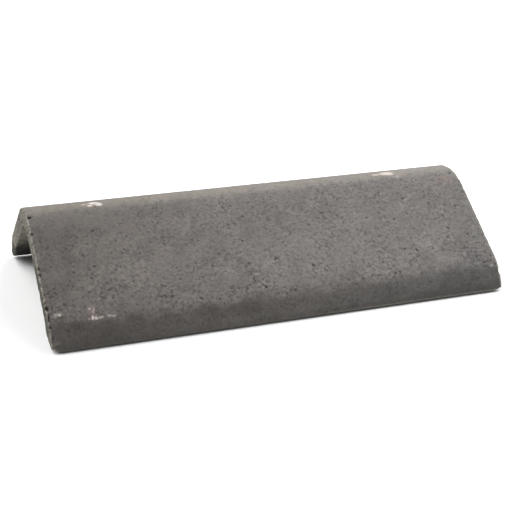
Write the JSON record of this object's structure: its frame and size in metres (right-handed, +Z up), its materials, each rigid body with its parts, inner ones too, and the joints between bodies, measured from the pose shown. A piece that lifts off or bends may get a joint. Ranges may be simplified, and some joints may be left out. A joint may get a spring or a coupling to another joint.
{
  "type": "concrete ridge tile",
  "caption": "Angle ridge tile in plain concrete, with a rounded crown, sloping flanks and short steep legs, open underneath, bedded along the top of a pitched roof.",
  "frame": {"origin": "on the floor under the tile, midway along its length and midway between its feet", "axes": "+X along the ridge, +Y across it, +Z up through the crown"},
  "size_m": [0.45, 0.247, 0.093],
  "materials": {
    "concrete": "matt, fine grained and pitted"
  },
  "bodies": {
    "root": {"ridge_tile": "concrete"}
  },
  "joints": []
}
